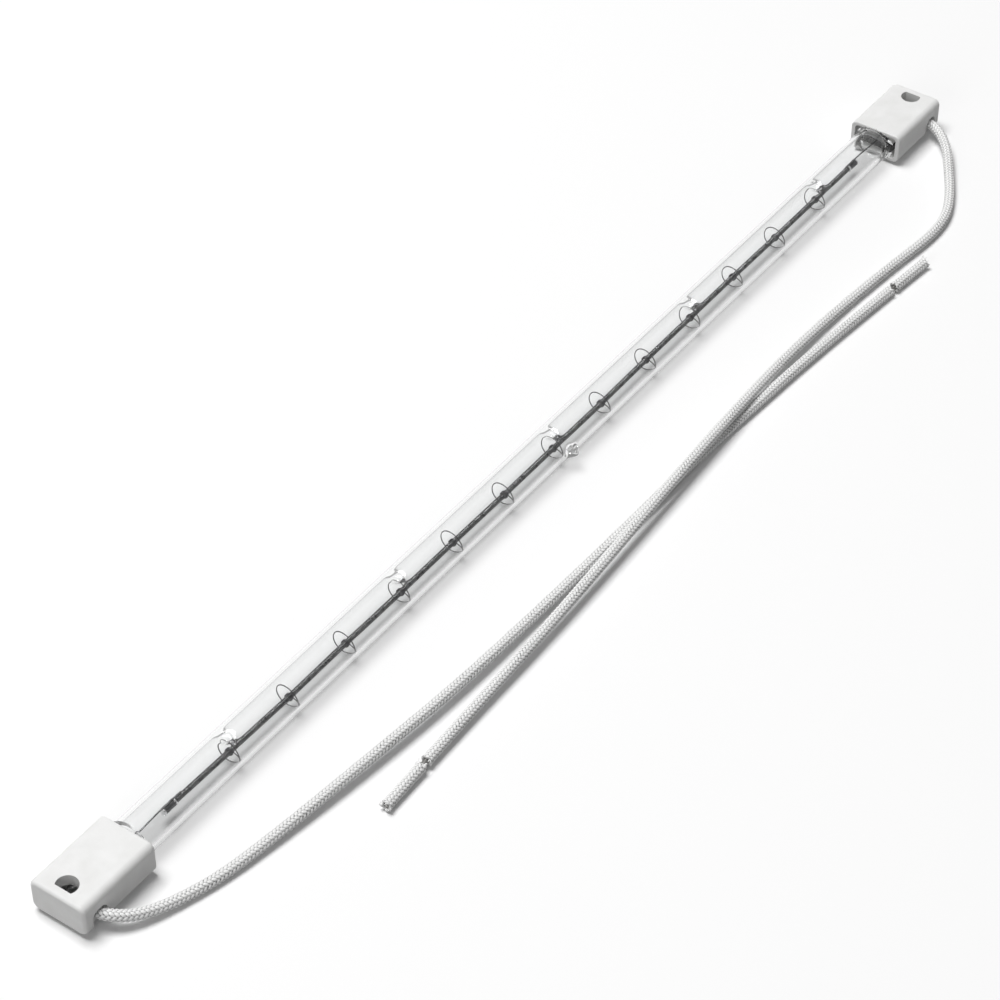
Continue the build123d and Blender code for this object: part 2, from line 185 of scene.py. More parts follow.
# Filament supports: thirteen short springs of tungsten wire, wound in one go. Two and a half close turns
# grip the coil, the wire steps out to one wide turn that rests in the bore, and its end is left free.
SUPPORT_WIRE_RADIUS = 0.135
CLASP_TURNS = 2.5
CLASP_RADIUS = 0.9
CLASP_LENGTH = 0.78
STEP_TURN = 0.5
STEP_BACK = 0.05
RING_TURN = 0.93
RING_RADIUS = 3.33
RING_BACK = 1.15
RING_DROP = 0.65
RING_BEDDING = 0.98
RING_ASIDE = 0.45
RING_LEAN = 0.1
LEG_LEAD = 0.9
support_metal = metal("tungsten_support", (0.05, 0.05, 0.052), (0.12, 0.12, 0.124), rough=0.3, grain=1200)
for number, place_x in enumerate(SUPPORT_X, start=1):
    give_y, give_z = filament_line(place_x + LEG_LEAD)
    rest_y = max(-RING_ASIDE, min(RING_ASIDE, float(give_y)))
    rest_z = AXIS_Z - RING_BEDDING * math.sqrt(RING_DROP**2 - rest_y**2)
    grip = np.linspace(0, 1, 61)
    step_out = np.linspace(0, 1, 12)[1:]
    wide = np.linspace(0, RING_TURN, 75)[1:]
    grip_angle = np.pi + 2 * np.pi * CLASP_TURNS * (grip - 1)
    wide_angle = np.pi + STEP_TURN + 2 * np.pi * wide
    angle = np.concatenate([grip_angle, np.pi + STEP_TURN * step_out, wide_angle])
    ease = step_out * step_out * (3 - 2 * step_out)
    step_radius = CLASP_RADIUS + (RING_RADIUS - CLASP_RADIUS) * ease
    radius = np.concatenate([0 * grip + CLASP_RADIUS, step_radius, 0 * wide + RING_RADIUS])
    shift = [CLASP_LENGTH * (grip - 1), -STEP_BACK * step_out, -STEP_BACK - RING_BACK * wide]
    held = np.concatenate([0 * grip + 1, 1 - ease, 0 * wide])
    lean = RING_LEAN * math.sin(2.1 * number) * (1 - held) * np.sin(angle)
    wire_x = place_x + LEG_LEAD + np.concatenate(shift) + lean
    wire_y = held * give_y + (1 - held) * rest_y + radius * np.cos(angle)
    wire_z = held * (FILAMENT_Z + give_z) + (1 - held) * rest_z + radius * np.sin(angle)
    wire = np.stack([wire_x, wire_y, wire_z], axis=1)
    node = "filament_support_%02d" % number
    skin = sweep(wire, (1, 0, 0), np.full((len(wire), 8), SUPPORT_WIRE_RADIUS))
    piece(node + "_wire", *skin, support_metal, "support_wire", [node])

# End clips: short molybdenum tubes squeezed over the filament's last turns. The squeeze leaves a shallow
# waist, and the cut rims at both ends are rolled a little outward. Their bright colour is partly bare metal
# and partly a painted highlight.
SIDES = (("left", -1), ("right", 1))
CLIP_BACK = 3.1
CLIP_LENGTH = 4.1
CLIP_RADIUS = 0.93
CLIP_AROUND = 32
EDGE_ROUND = 0.2
RIM_ROLL = 0.06
RIM_WIDTH = 0.22
WAIST_DEPTH = 0.1
WAIST_PLACE = 0.45
WAIST_WIDTH = 0.16


def bell(offset, width):
    """Bell curve exp(-(offset / width)^2): 1 in the middle, falling to 0."""
    return np.exp(-((offset / width) ** 2))


def rim_fall(edge, radius):
    """How far a rounded rim falls back at this distance from its edge: r - sqrt(r^2 - (r - e)^2)."""
    inward = np.clip(radius - edge, 0, radius)
    return radius - np.sqrt(np.clip(radius**2 - inward**2, 0, None))


def squeezed(radius, depth, around):
    """Reach of a tube squeezed from two sides: r(s) - d(s) (1 + cos 2a) / 2, with a in equal steps."""
    angle = np.linspace(0, 2 * np.pi, around, endpoint=False)
    return radius[:, None] - depth[:, None] * (0.5 + 0.5 * np.cos(2 * angle))[None, :]


def mirrored(vertices, faces, sign):
    """The shape for the end on this side: x times the sign, with the faces turned back outward."""
    if sign < 0:
        faces = [face[::-1] for face in faces]
    return vertices * (sign, 1, 1), faces


def mark(thing, name, values):
    """Keeps one number per vertex for the material, under this name."""
    attribute = thing.data.attributes.new(name, "FLOAT", "POINT")
    attribute.data.foreach_set("value", values)


def marked(tree, name):
    """The number that the vertices keep under this name."""
    node = tree.nodes.new("ShaderNodeAttribute")
    node.attribute_name = name
    return node.outputs["Fac"]


clip_metal = metal("clip_molybdenum", (0.05, 0.05, 0.052), (0.13, 0.13, 0.135), rough=0.28, grain=700)
tree = clip_metal.node_tree
clip_color = tree.nodes["Principled BSDF"].inputs["Base Color"]
# Painted highlight: near the rims the dark metal is mixed to a bright one, partly for bare metal at the cut,
# partly for the glint that runs round the rims.
rim_highlight_tint = tree.nodes.new("ShaderNodeMix")
rim_highlight_tint.data_type = "RGBA"
tree.links.new(marked(tree, "bare_rim_and_highlight"), rim_highlight_tint.inputs[0])
tree.links.new(clip_color.links[0].from_socket, rim_highlight_tint.inputs[6])
rim_highlight_tint.inputs[7].default_value = (0.78, 0.78, 0.79, 1)
tree.links.new(rim_highlight_tint.outputs[2], clip_color)
share = np.linspace(0, 1, 60)
clip_x = CLIP_X - CLIP_BACK + CLIP_LENGTH * share
clip_line = np.stack([clip_x, 0 * share, 0 * share + FILAMENT_Z], axis=1)
edge = np.minimum(share, 1 - share) * CLIP_LENGTH
rim = bell(edge - EDGE_ROUND, RIM_WIDTH)
clip_radius = CLIP_RADIUS - rim_fall(edge, EDGE_ROUND) + RIM_ROLL * rim
waist = WAIST_DEPTH * bell(share - WAIST_PLACE, WAIST_WIDTH)
clip_skin = sweep(clip_line, (0, 0, 1), squeezed(clip_radius, waist, CLIP_AROUND))
# The rims' share of that painted highlight: full on the rounded edge, fading along the rolled bead.
rim_highlight_share = np.repeat(np.where(edge < EDGE_ROUND, 1.0, rim), CLIP_AROUND)
for side, sign in SIDES:
    shape = mirrored(*clip_skin, sign)
    clip = piece(side + "_clip_tube", *shape, clip_metal, "clip_metal", [side + "_filament_end_clip"])
    mark(clip, "bare_rim_and_highlight", rim_highlight_share)

# Inner leads: bare molybdenum wires, drawn and cut to length. Each is welded along its end clip and bent
# down to the lamp's axis, where the pinch seal holds it.
INNER_LEAD_RADIUS = 0.2
INNER_LEAD_ROUTE = (
    (140.95, 0, 5.73),
    (145.0, 0, 5.73),
    (149.15, 0, 5.73),
    (152.6, 0, 5.47),
    (156.0, 0, AXIS_Z),
    (161.17, 0, AXIS_Z),
)


def spline_points(controls, resolution=24):
    """Points of a smooth spline of order 3 that starts and ends on its outer controls."""
    curve = bpy.data.curves.new("route", "CURVE")
    curve.dimensions = "3D"
    curve.resolution_u = resolution
    spline = curve.splines.new("NURBS")
    spline.points.add(len(controls) - 1)
    for point, control in zip(spline.points, controls):
        point.co = (*control, 1.0)
    spline.order_u = 3
    spline.use_endpoint_u = True
    line = bpy.data.objects.new("route", curve)
    mesh = bpy.data.meshes.new_from_object(line)
    points = np.empty(len(mesh.vertices) * 3)
    mesh.vertices.foreach_get("co", points)
    bpy.data.meshes.remove(mesh)
    bpy.data.objects.remove(line)
    bpy.data.curves.remove(curve)
    points = points.reshape(-1, 3)
    keep = np.concatenate([[True], np.linalg.norm(np.diff(points, axis=0), axis=1) > 1e-6])
    return points[keep]


def equal_steps(points, step):
    """The same line with its points at equal steps of length, and how far along each one is."""
    length = np.concatenate([[0], np.cumsum(np.linalg.norm(np.diff(points, axis=0), axis=1))])
    places = np.linspace(0, length[-1], int(round(length[-1] / step)) + 1)
    return np.stack([np.interp(places, length, points[:, axis]) for axis in range(3)], axis=1), places


def bent_wire(route, sign, step, radius, around):
    """Round wire bent along a route, which the sign mirrors: a sweep of one radius."""
    line = equal_steps(spline_points([(sign * x, y, z) for x, y, z in route]), step)[0]
    return sweep(line, (0, 0, 1), np.full((len(line), around), radius))


lead_metal = metal("lead_molybdenum", (0.12, 0.12, 0.123), (0.28, 0.28, 0.286), rough=0.3, grain=800)
for side, sign in SIDES:
    skin = bent_wire(INNER_LEAD_ROUTE, sign, step=0.4, radius=INNER_LEAD_RADIUS, around=12)
    piece(side + "_inner_lead_wire", *skin, lead_metal, "lead_wire", [side + "_inner_lead"])

# Sealing foils: strips of molybdenum, rolled thin enough to seal in the quartz and welded between inner lead
# and outer pin. They stay as the solids have them.


def dress(node, material):
    """Gives a solid that stays this material only."""
    materials = bpy.data.objects[node].data.materials
    materials.clear()
    materials.append(material)


foil_metal = metal("foil_molybdenum", (0.34, 0.34, 0.36), (0.5, 0.5, 0.53), rough=0.28, grain=500)
for side in ("left", "right"):
    dress(side + "_sealing_foil", foil_metal)

# Outer lead pins: stiff molybdenum wires from the foils. They swing aside to take up heat growth, then turn
# towards the side slots and end in the crimp sleeves.
WIRE_X = 176.1
WIRE_Z = 4.2
PIN_RADIUS = 0.4
PIN_ROUTE = (
    (168.63, 0, AXIS_Z),
    (170.8, 0, AXIS_Z),
    (172.3, 0, 5.15),
    (173.3, 1.25, 4.7),
    (174.2, 2.35, 4.25),
    (WIRE_X - 0.5, 2.45, WIRE_Z),
    (WIRE_X, 1.9, WIRE_Z),
    (WIRE_X, 0.6, WIRE_Z),
    (WIRE_X, -2.3, WIRE_Z),
)
pin_metal = metal("pin_molybdenum", (0.45, 0.45, 0.455), (0.7, 0.7, 0.71), rough=0.24, grain=800)
for side, sign in SIDES:
    skin = bent_wire(PIN_ROUTE, sign, step=0.2, radius=PIN_RADIUS, around=16)
    piece(side + "_pin_wire", *skin, pin_metal, "lead_wire", [side + "_outer_lead_pin"])

# Quartz tube: clear fused quartz. Its ends are melted and pinched flat over the foils, its top is dimpled
# over every third support to hold the wide turns, and the pumping tube was melted off at one side.
TUBE_RADIUS = 5.2
BORE_RADIUS = 4.15
ROUND_END = 156.6
SHOULDER = 1.5
BORE_SHOULDER = 0.9
LEFT_START = 0.65
LEFT_SHARE = 0.56
PINCH_WIDTH = 5.7
PINCH_HEIGHT = 1.4
PINCH_POWER = 6.0
PINCH_RINGS = np.linspace(158.6, 171.6, 9)
BORE_END_WIDTH = 3.8
BORE_END_HEIGHT = 0.35
DENT_X = SUPPORT_X[::3]
DENT_REACH = 4.2
DENT_RINGS = 47
DENT_TO_LEFT = 0.4
DENT_SKEW = 0.04
TIP_X = 2.2
TIP_DISTANCES = [0, 0.35, 0.7, 1.0, 1.3, 1.6, 1.95, 2.35, 3.0]
TIP_REACHES = [7.28, 7.2, 6.95, 6.6, 6.2, 5.8, 5.3, 4.7, 3.6]
TIP_BLEND = 0.14
PORE_REACH = 6.1
PORE_RADIUS = 0.2
PORE_FLARE = 0.5
PORE_FALL = 4.0
DEEPEST_RAY = 4.5


def section(x, angle, shoulder, radius, end_width, end_height, end_power):
    """Squared ellipse: its height falls along a quarter ellipse over the shoulder, its power rises from 2.

    The left shoulder starts later and is shorter. Widths and heights are halves."""
    start = np.where(x < 0, ROUND_END + LEFT_START, ROUND_END)
    length = np.where(x < 0, LEFT_SHARE, 1.0) * shoulder
    share = np.clip((np.abs(x) - start) / length, 0, 1)
    fall = np.sqrt(1 - share**2)
    width = radius + (end_width - radius) * share
    height = end_height + (radius - end_height) * fall
    power = 2 / (2 + (end_power - 2) * (1 - fall))
    cosine = np.cos(angle)
    sine = np.sin(angle)
    y = width * np.sign(cosine) * np.abs(cosine) ** power
    z = height * np.sign(sine) * np.abs(sine) ** power
    return y, z


def soft_low(a, b, blend):
    """Lower of two heights with a rounded change-over: -blend . log(exp(-a / blend) + exp(-b / blend))."""
    low = np.minimum(a, b)
    return low - blend * np.log(np.exp((low - a) / blend) + np.exp((low - b) / blend))


def shoulder_rings(shoulder, turn):
    """Places of the rings on both shoulders: start + length . sin t, closer at the steep end."""
    right = ROUND_END + shoulder * np.sin(turn)
    left = ROUND_END + LEFT_START + LEFT_SHARE * shoulder * np.sin(turn)
    return np.concatenate([right, -left, [-ROUND_END - LEFT_START]])


def dented(x, y, z, depth, length, width, sideways):
    """Dents in the top: z falls by depth . bell(d), d the distance in shares of length and width."""
    for index, place in enumerate(DENT_X):
        skew = DENT_SKEW * math.sin(3.7 * index + 1.0)
        along = (x - place + DENT_TO_LEFT) * (1 + skew) / length
        across = (y + sideways) * (1 - skew) / width
        z = z - np.where(z > 0, depth * bell(np.hypot(along, across), 1), 0)
    return z


def reckon(tree, operation, *values, clamp=False):
    """Result of one operation on these values, each a number or the result of another node."""
    node = tree.nodes.new("ShaderNodeMath")
    node.operation = operation
    node.use_clamp = clamp
    for socket, value in zip(node.inputs, values):
        if isinstance(value, bpy.types.NodeSocket):
            tree.links.new(value, socket)
        else:
            socket.default_value = value
    return node.outputs["Value"]


def either(tree, factor, first, second):
    """The first shader where the factor is 0, the second where it is 1."""
    mix = tree.nodes.new("ShaderNodeMixShader")
    tree.links.new(factor, mix.inputs["Fac"])
    tree.links.new(first, mix.inputs[1])
    tree.links.new(second, mix.inputs[2])
    return mix.outputs["Shader"]


# The rings are closer over the dents and the tip, where the tube curves along its length.
fine = [place + np.linspace(-DENT_REACH, DENT_REACH, DENT_RINGS) for place in DENT_X]
fine = np.concatenate(fine + [np.linspace(4.36, 5.4, 7)])
plain = np.linspace(-ROUND_END, ROUND_END, 78)
apart = np.min(np.abs(plain[:, None] - DENT_X[None, :]), axis=1) > 4.4
apart &= np.abs(plain - TIP_X) > 3.6
body = np.concatenate([fine, plain[apart]])
turn = np.radians(np.linspace(0, 90, 31))[1:]
outer_x = np.concatenate([body, shoulder_rings(SHOULDER, turn), PINCH_RINGS, -PINCH_RINGS])
outer_x = np.unique(np.round(outer_x, 4))
inner_x = np.concatenate([body, shoulder_rings(BORE_SHOULDER, turn[::2])])
inner_x = np.unique(np.round(inner_x, 4))
spans = ((50, 130, 40), (130, 150, 6), (150, 210, 26), (210, 410, 42))
angles = [np.linspace(low, high, count, endpoint=False) for low, high, count in spans]
angles = np.radians(np.concatenate(angles))

# Outer skin, with the dents and the ragged melted-off tip.
x, angle = np.meshgrid(outer_x, angles, indexing="ij")
y, z = section(x, angle, SHOULDER, TUBE_RADIUS, PINCH_WIDTH, PINCH_HEIGHT, PINCH_POWER)
z = dented(x, y, z, depth=1.4, length=1.6, width=1.35, sideways=0.6)
turn_about = np.arctan2(z - 0.15, x - TIP_X)
ragged = 1 + 0.12 * np.cos(2 * turn_about + 0.8) + 0.08 * np.cos(3 * turn_about - 0.5)
tip_out = np.interp(np.hypot(x - TIP_X, z) / ragged, TIP_DISTANCES, TIP_REACHES)
near = (y < 0) & (np.abs(x - TIP_X) < 3.0) & (np.abs(z) < 3.2)
y = np.where(near, soft_low(y, -tip_out, TIP_BLEND), y)
outer = np.stack([x, y, AXIS_Z + z], axis=-1).reshape(-1, 3)

# Inner skin, with smaller dents and the closed pore that the pumping tube left.
x, angle = np.meshgrid(inner_x, angles, indexing="ij")
y, z = section(x, angle, BORE_SHOULDER, BORE_RADIUS, BORE_END_WIDTH, BORE_END_HEIGHT, 2.0)
z = dented(x, y, z, depth=1.15, length=1.3, width=1.1, sideways=0.5)
distance = np.hypot(x - TIP_X, z)
pore_out = PORE_REACH - PORE_FALL * np.clip((distance - PORE_RADIUS) / PORE_FLARE, 0, 1) ** 1.5
near = (y < 0) & (distance < 0.9)
y = np.where(near, np.minimum(y, -pore_out), y)
inner = np.stack([x, y, AXIS_Z + z], axis=-1).reshape(-1, 3)

tube_faces = closed_faces(len(outer_x), len(angles))
for face in closed_faces(len(inner_x), len(angles)):
    tube_faces.append([len(outer) + corner for corner in face[::-1]])

clear_settings = {"Roughness": 0.0, "IOR": 1.458, "Transmission Weight": 1.0}
quartz, tree, inputs = shaded("clear_quartz", clear_settings)
streaks = clouds(tree, 60.0, detail=2.0)
quartz_tint = two_tone(tree, streaks, (0.975, 0.98, 0.98), (0.995, 0.998, 0.998))
tree.links.new(quartz_tint, inputs["Base Color"])
# A ray that is seen bends in the quartz, and after a few bounces it passes straight on, a little dimmed.
rays = tree.nodes.new("ShaderNodeLightPath").outputs
deep = reckon(tree, "GREATER_THAN", rays["Ray Depth"], DEEPEST_RAY)
open_way = tree.nodes.new("ShaderNodeBsdfTransparent")
open_way.inputs["Color"].default_value = (0.8, 0.8, 0.8, 1)
solid_quartz = tree.nodes["Principled BSDF"].outputs["BSDF"]
seen_quartz = either(tree, deep, solid_quartz, open_way.outputs["BSDF"])
# Light for the other pieces passes straight through, and loses some where it enters the outer skin.
slant = tree.nodes.new("ShaderNodeLayerWeight")
slant.inputs["Blend"].default_value = 0.45
loss = spread(tree, slant.outputs["Facing"], -0.38, -0.15, start=0.3, end=0.65)
facing = tree.nodes.new("ShaderNodeNewGeometry")
entering = reckon(tree, "SUBTRACT", marked(tree, "outer_skin"), facing.outputs["Backfacing"], clamp=True)
clear_way = tree.nodes.new("ShaderNodeBsdfTransparent")
tree.links.new(reckon(tree, "MULTIPLY_ADD", entering, loss, 1.0), clear_way.inputs["Color"])
light_way = reckon(tree, "MAXIMUM", rays["Is Shadow Ray"], rays["Is Diffuse Ray"])
quartz_surface = either(tree, light_way, seen_quartz, clear_way.outputs["BSDF"])
tree.links.new(quartz_surface, tree.nodes["Material Output"].inputs["Surface"])
tube_points = np.concatenate([outer, inner])
envelope = piece("quartz_envelope", tube_points, tube_faces, quartz, "quartz", ["quartz_tube"])
mark(envelope, "outer_skin", np.concatenate([np.ones(len(outer)), np.zeros(len(inner))]))

# Cement: white refractory paste, pressed in between the pinches and the caps and set hard. It stays as the
# solids have it.
cement, tree, inputs = shaded("set_cement", {"Roughness": 0.9})
grit = clouds(tree, 900.0, detail=6.0)
tree.links.new(two_tone(tree, grit, (0.74, 0.735, 0.72), (0.9, 0.895, 0.88)), inputs["Base Color"])
relief(tree, grit, inputs["Normal"], strength=0.5, height=0.0001)
for side in ("left", "right"):
    dress(side + "_cement_fill", cement)

# End caps: pressed and fired steatite, white and matt. A mouth takes the pinch, a D-shaped hole opens the
# top above the crimp, and a slot up one side from below lets the lead out.
CAP_START = 158
CAP_END = 181.0
CAP_WIDTH = 15.3
CAP_HEIGHT = 8.6
CAP_CORNER = 1.8
START_ROUND = 0.35
END_ROUND = 0.9
EASED_EDGE = 0.28
MOUTH_REACH = (157.0, 172.2)
CHAMBER_REACH = (172.0, 179.6)
CHAMBER_Z = 4.6
HOLE_X = 177.3
HOLE_RADIUS = 2.65
HOLE_FLAT = 1.4
HOLE_REACH = (5.2, 12)
POCKET_REACH = (-3.95, -6.2)
NOTCH_REACH = (-6.0, -9.0)
NOTCH_Z = 1.9


def rounded_outline(width, height, radius, steps):
    """Rounded rectangle about the origin, corner arcs in equal steps, counter-clockwise."""
    points = []
    for corner, (across, upward) in enumerate(((1, 1), (-1, 1), (-1, -1), (1, -1))):
        turn = np.linspace(0, np.pi / 2, steps + 1) + corner * np.pi / 2
        horizontal = across * (width / 2 - radius) + radius * np.cos(turn)
        vertical = upward * (height / 2 - radius) + radius * np.sin(turn)
        points.append(np.stack([horizontal, vertical], axis=1))
    return np.concatenate(points)


def across_x(outline, x, middle_z):
    """The outline as a loop square to x: its first axis is y, its second is z above the middle."""
    return np.column_stack([0 * outline[:, 0] + x, outline[:, 0], middle_z + outline[:, 1]])


def across_y(outline, y, middle_z):
    """The outline as a loop square to y, about the side slot: its first axis is x, its second is z."""
    return np.column_stack([WIRE_X + outline[:, 0], 0 * outline[:, 0] + y, middle_z + outline[:, 1]])


def across_z(outline, z):
    """The outline as a loop square to z, about the hole: its first axis is x, its second is y."""
    return np.column_stack([HOLE_X + outline[:, 0], outline[:, 1], 0 * outline[:, 0] + z])


def cap_loop(x, inset, corner):
    """The cap's outline at x, drawn in all round by the inset."""
    outline = rounded_outline(CAP_WIDTH - 2 * inset, CAP_HEIGHT - 2 * inset, corner, 8)
    return across_x(outline, x, AXIS_Z)


def solid_of(name, loops):
    """Closed solid through equal loops of points, ends filled."""
    mesh = bpy.data.meshes.new(name)
    mesh.from_pydata((np.concatenate(loops) * MM).tolist(), [], closed_faces(len(loops), len(loops[0])))
    work = bmesh.new()
    work.from_mesh(mesh)
    bmesh.ops.recalc_face_normals(work, faces=work.faces)
    work.to_mesh(mesh)
    work.free()
    thing = bpy.data.objects.new(name, mesh)
    bpy.context.scene.collection.objects.link(thing)
    return thing


ceramic, tree, inputs = shaded("fired_ceramic", {"Specular IOR Level": 0.35})
blotch = clouds(tree, 260.0, detail=5.0)
ceramic_tint = two_tone(tree, blotch, (0.78, 0.78, 0.77), (0.85, 0.85, 0.845), start=0.25, end=0.75)
tree.links.new(ceramic_tint, inputs["Base Color"])
tree.links.new(spread(tree, blotch, 0.5, 0.68), inputs["Roughness"])
relief(tree, clouds(tree, 1500.0, detail=3.0), inputs["Normal"], strength=0.3, height=0.00006)
loops = []
for turn in np.radians(np.linspace(90, 0, 6)):
    inset = START_ROUND * (1 - math.cos(turn))
    loops.append(cap_loop(CAP_START + START_ROUND * (1 - math.sin(turn)), inset, CAP_CORNER - inset))
for turn in np.radians(np.linspace(0, 90, 7)):
    inset = END_ROUND * (1.0 - math.cos(turn))
    loops.append(cap_loop(CAP_END - END_ROUND * (1 - math.sin(turn)), inset, CAP_CORNER - 0.6 * inset))
cap_body = solid_of("cap_body", loops)
mouth = rounded_outline(width=12.9, height=6.6, radius=1.0, steps=6)
chamber = rounded_outline(width=12.0, height=3.6, radius=0.3, steps=3)
pocket = rounded_outline(width=4.6, height=3.8, radius=1.4, steps=8)
notch = rounded_outline(width=4.6, height=8.4, radius=2.0, steps=8)
flat_angle = math.acos(HOLE_FLAT / HOLE_RADIUS)
hole_turn = np.linspace(flat_angle, 2 * np.pi - flat_angle, 48)
hole = HOLE_RADIUS * np.column_stack([np.cos(hole_turn), np.sin(hole_turn)])
cutters = [
    solid_of("mouth_cut", [across_x(mouth, place, AXIS_Z) for place in MOUTH_REACH]),
    solid_of("chamber_cut", [across_x(chamber, place, CHAMBER_Z) for place in CHAMBER_REACH]),
    solid_of("hole_cut", [across_z(hole, place) for place in HOLE_REACH]),
    solid_of("pocket_cut", [across_y(pocket, place, WIRE_Z) for place in POCKET_REACH]),
    solid_of("notch_cut", [across_y(notch, place, NOTCH_Z) for place in NOTCH_REACH]),
]
for cutter in cutters:
    cut = cap_body.modifiers.new(cutter.name, "BOOLEAN")
    cut.operation = "DIFFERENCE"
    cut.solver = "EXACT"
    cut.object = cutter
eased = cap_body.modifiers.new("eased_edges", "BEVEL")
eased.width = EASED_EDGE * MM
eased.segments = 3
eased.limit_method = "ANGLE"
eased.angle_limit = math.radians(50)
eased.harden_normals = False
bpy.context.view_layer.update()
depsgraph = bpy.context.evaluated_depsgraph_get()
cap_mesh = bpy.data.meshes.new_from_object(cap_body.evaluated_get(depsgraph))
cap_points = np.empty(len(cap_mesh.vertices) * 3)
cap_mesh.vertices.foreach_get("co", cap_points)
cap_points = cap_points.reshape(-1, 3) / MM
cap_faces = [list(face.vertices) for face in cap_mesh.polygons]
bpy.data.meshes.remove(cap_mesh)
for thing in [cap_body] + cutters:
    mesh = thing.data
    bpy.data.objects.remove(thing)
    bpy.data.meshes.remove(mesh)
for side, sign in SIDES:
    shape = mirrored(cap_points, cap_faces, sign)
    cap = piece(side + "_ceramic_cap", *shape, ceramic, "ceramic", [side + "_end_cap"])
    cap.modifiers.new("even_shading", "WEIGHTED_NORMAL")

# Crimp sleeves: nickel-plated tubes, cut short and slipped over pin and conductor. The pressing tool
# squeezed each of them flat in two places.
CRIMP_START = -0.9
CRIMP_LENGTH = 3.0
CRIMP_RADIUS = 1.1
PRESS_DEPTH = 0.16
PRESS_PLACES = (0.3, 0.72)
PRESS_WIDTH = 0.1
crimp_metal = metal("plated_crimp", (0.55, 0.54, 0.52), (0.8, 0.79, 0.77), rough=0.22, grain=600)
share = np.linspace(0, 1, 36)
edge = np.minimum(share, 1 - share) * CRIMP_LENGTH
pressed = PRESS_DEPTH * sum(bell(share - place, PRESS_WIDTH) for place in PRESS_PLACES)
crimp_reach = squeezed(CRIMP_RADIUS - rim_fall(edge, EDGE_ROUND), pressed, around=32)
for side, sign in SIDES:
    crimp_y = CRIMP_START - CRIMP_LENGTH * share
    crimp_line = np.stack([0 * share + sign * WIRE_X, crimp_y, 0 * share + WIRE_Z], axis=1)
    skin = sweep(crimp_line, (0, 0, 1), crimp_reach)
    piece(side + "_crimp_tube", *skin, crimp_metal, "crimp", [side + "_crimp_sleeve"])

# Leads: nickel-plated copper strand in a sleeve braided from sixteen ends of glass-fibre yarn, over two and
# under two. They leave by the side slots and lie loose; near the end the sleeve is cut and pulled apart.
YARNS = 8
YARN_LAY = 8.7
YARN_RISE = 0.45
SLEEVE_RADIUS = 1.0
SLEEVE_BORE = 0.76
SLEEVE_AROUND = 48
SLEEVE_STEP = 0.18
END_OPENED = 1.6
END_SWELL = 0.05
END_RAGGED = 0.16
CUT_PLACES = 14
LOOSE_YARNS = 5
LOOSE_RADIUS = 0.12
LOOSE_ROOT = 1.15
LOOSE_TUCKED = 0.7
FLAPS = 2
FLAP_STAND_OFF = 0.4
FLAP_FLATNESS = 2.4
FLOOR_GAP = 0.02
STRAND_RADIUS = 0.55
STRAND_RISE = 0.15
STRAND_TWIST = 9.0
SLUG_GAP = 1.8
SLUG_LENGTH = 14.0
SLUG_RINGS = 79
WAYS = {
    "left": (
        (0, -4.1, 4.2),
        (0, -6.8, 4.2),
        (1.1, -9.6, 3.95),
        (3.8, -12.4, 3.15),
        (8.1, -14.8, 2.3),
        (15.1, -17.4, 1.6),
        (25.6, -20.4, 1.5),
        (43.1, -23.0, 2.1),
        (68.1, -26.0, 3.1),
        (100.1, -28.8, 3.1),
        (134.1, -29.2, 1.9),
        (168.1, -29.6, 1.5),
        (198.1, -29.5, 1.5),
        (226.1, -30.7, 1.5),
        (255.6, -32.4, 1.5),
        (283.1, -34.9, 1.5),
    ),
    "right": (
        (0, -4.1, 4.2),
        (0, -6.8, 4.2),
        (0.9, -9.9, 4.05),
        (3.3, -13.4, 3.6),
        (7.3, -17.2, 2.95),
        (14.1, -21.6, 2.2),
        (23.6, -27.4, 1.6),
        (32.6, -31.2, 1.5),
        (43.1, -31.8, 1.5),
        (59.1, -29.9, 1.5),
        (84.1, -27.9, 1.6),
        (110.1, -27.5, 2.6),
        (140.1, -29.7, 4.8),
        (168.1, -31.2, 4.8),
        (200.1, -33.2, 4.0),
        (230.1, -34.7, 3.1),
        (255.1, -35.3, 2.4),
        (275.6, -36.1, 1.95),
    ),
}


def braid_height(along, angle):
    """Over-two-under-two braid: two sets of yarns a and b wind both ways, and the upper one is the surface.

    A yarn's height is 0.55 of its round crown and 0.45 of the wave in which it passes over and under."""
    a = YARNS * (angle / (2 * np.pi) - along / YARN_LAY)
    b = YARNS * (angle / (2 * np.pi) + along / YARN_LAY)
    row_a = np.floor(a)
    row_b = np.floor(b)
    crown_a = np.sqrt(np.clip(1 - (2 * (a - row_a) - 1) ** 2, 0, 1))
    crown_b = np.sqrt(np.clip(1 - (2 * (b - row_b) - 1) ** 2, 0, 1))
    wave_a = np.sin(np.pi / 2 * (row_a + b))
    wave_b = -np.sin(np.pi / 2 * (row_b + a))
    return np.maximum(0.55 * crown_a + 0.45 * wave_a, 0.55 * crown_b + 0.45 * wave_b)


